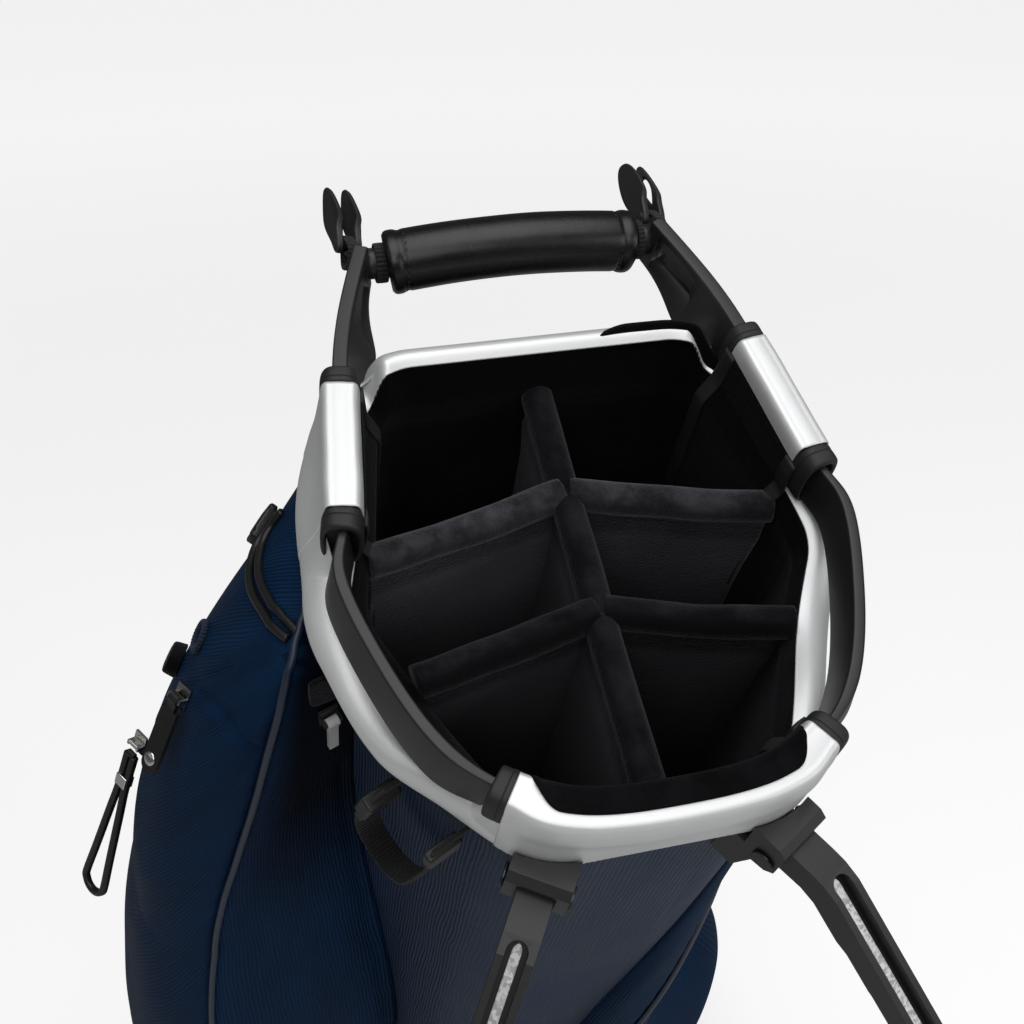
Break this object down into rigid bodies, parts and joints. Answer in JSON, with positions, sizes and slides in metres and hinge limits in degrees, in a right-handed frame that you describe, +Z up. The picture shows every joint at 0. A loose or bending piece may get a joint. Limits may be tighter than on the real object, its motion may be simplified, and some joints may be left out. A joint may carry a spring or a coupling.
{
  "type": "golf stand bag",
  "caption": "Golf bag leaning on two fold-out legs, with a leatherette body, side pockets, a silver padded collar, plush divided wells and a leather carrying grip",
  "frame": {"origin": "Middle of the rocker foot's rubber sole, on the floor", "axes": "+X to the bag's right, +Y to its back, away from the legs, +Z up from the floor"},
  "size_m": [0.8204, 0.9233, 0.8974],
  "materials": {
    "navy_leatherette": "satin, fine ridged grain",
    "silver_leatherette": "metallic satin",
    "black_plush": "soft pile",
    "black_plastic": "satin moulded",
    "black_leather": "fine grain",
    "black_webbing": "ribbed weave",
    "navy_cord": "round braid",
    "silver_metal": "polished",
    "steel": "plain",
    "aluminium": "satin",
    "rubber": "matt",
    "silver_mesh": "woven"
  },
  "bodies": {
    "bag": {"tube_shell": "navy_leatherette", "lining": "black_plush", "divider_spine": "black_plush", "divider_front": "black_plush", "divider_rear": "black_plush", "top_frame": "black_plastic", "handle_grip": "black_leather", "collar": "silver_leatherette", "sleeve_front": "silver_leatherette", "sleeve_left": "silver_leatherette", "sleeve_right": "silver_leatherette", "collar_bindings": "black_webbing", "base_cup": "black_plastic", "rocker_pin": "steel", "rod_guides": "black_plastic", "left_pocket": "navy_leatherette", "right_pocket": "navy_leatherette", "leg_bracket_left": "black_plastic", "leg_bracket_right": "black_plastic", "leg_pin_left": "steel", "leg_pin_right": "steel", "leg_spring_left": "steel", "leg_spring_right": "steel", "strap_loop_left": "black_webbing", "strap_loop_right": "black_webbing", "pocket_toggle": "black_webbing", "zip_slider": "silver_metal", "pocket_puck": "black_plush", "cord_loop": "navy_cord", "loop_mount": "silver_metal", "bar_mount": "black_plastic", "plush_patch": "black_plush", "strap_webbing": "black_webbing", "buckle_socket": "black_plastic", "buckle_plug": "black_plastic", "ladder_lock": "black_plastic"},
    "leg_left": {"leg_housing_left": "black_plastic", "leg_inlay_left": "silver_mesh", "leg_tube_left": "aluminium", "leg_foot_left": "rubber"},
    "leg_right": {"leg_housing_right": "black_plastic", "leg_inlay_right": "silver_mesh", "leg_tube_right": "aluminium", "leg_foot_right": "rubber"},
    "rocker": {"rocker_foot": "black_plastic", "rocker_sole": "rubber"},
    "rods": {"push_rods": "steel"},
    "clip_left": {"strap_clip_left": "black_plastic"},
    "clip_right": {"strap_clip_right": "black_plastic"},
    "zip_pull": {"zip_tab": "black_leather", "tab_rivet": "silver_metal"},
    "loop_pull": {"loop_pull": "black_leather", "loop_clamp": "silver_metal"},
    "bar_pull": {"bar_pull": "silver_metal"}
  },
  "joints": [
    {"name": "left_leg_fold", "type": "hinge", "parent": "bag", "child": "leg_left", "pos_m": [-0.056, -0.43165, 0.67346], "axis": [0.8572, -0.446, -0.2575], "range_deg": [0, 53.5], "stiffness_Nm_per_rad": 0.3, "springref_deg": 68.75},
    {"name": "right_leg_fold", "type": "hinge", "parent": "bag", "child": "leg_right", "pos_m": [0.056, -0.43165, 0.67346], "axis": [0.8572, 0.446, 0.2575], "range_deg": [0, 53.5], "stiffness_Nm_per_rad": 0.3, "springref_deg": 68.75},
    {"name": "rocker_tilt", "type": "hinge", "parent": "bag", "child": "rocker", "pos_m": [0, 0.038, 0.007], "axis": [1, 0, 0], "range_deg": [0, 30]},
    {"name": "rod_lift", "type": "slide", "parent": "bag", "child": "rods", "axis": [0, -0.5, 0.866], "range_m": [-0.033, 0]},
    {"name": "left_clip_swing", "type": "hinge", "parent": "bag", "child": "clip_left", "pos_m": [-0.084, -0.156, 0.87302], "axis": [0.9659, 0.1294, -0.2241], "range_deg": [-30, 30]},
    {"name": "right_clip_swing", "type": "hinge", "parent": "bag", "child": "clip_right", "pos_m": [0.084, -0.156, 0.87302], "axis": [0.9659, 0.1294, -0.2241], "range_deg": [-30, 30]},
    {"name": "zip_tab_swing", "type": "hinge", "parent": "bag", "child": "zip_pull", "pos_m": [-0.20182, -0.25427, 0.67215], "axis": [-0.5355, 0.8157, 0.2187], "range_deg": [0, 70]},
    {"name": "loop_pull_swing", "type": "hinge", "parent": "bag", "child": "loop_pull", "pos_m": [-0.23683, -0.16778, 0.58176], "axis": [-0.5496, 0.789, 0.2746], "range_deg": [0, 50]},
    {"name": "bar_pull_swing", "type": "hinge", "parent": "bag", "child": "bar_pull", "pos_m": [-0.1268, -0.31097, 0.68422], "axis": [-0.9301, -0.318, -0.1836], "range_deg": [0, 40]}
  ],
  "couplings": [
    {"joint": "right_leg_fold", "follows": "left_leg_fold", "ratio": 1},
    {"joint": "rocker_tilt", "follows": "left_leg_fold", "ratio": 0.5607},
    {"joint": "rod_lift", "follows": "left_leg_fold", "m_per_rad": -0.0353}
  ]
}
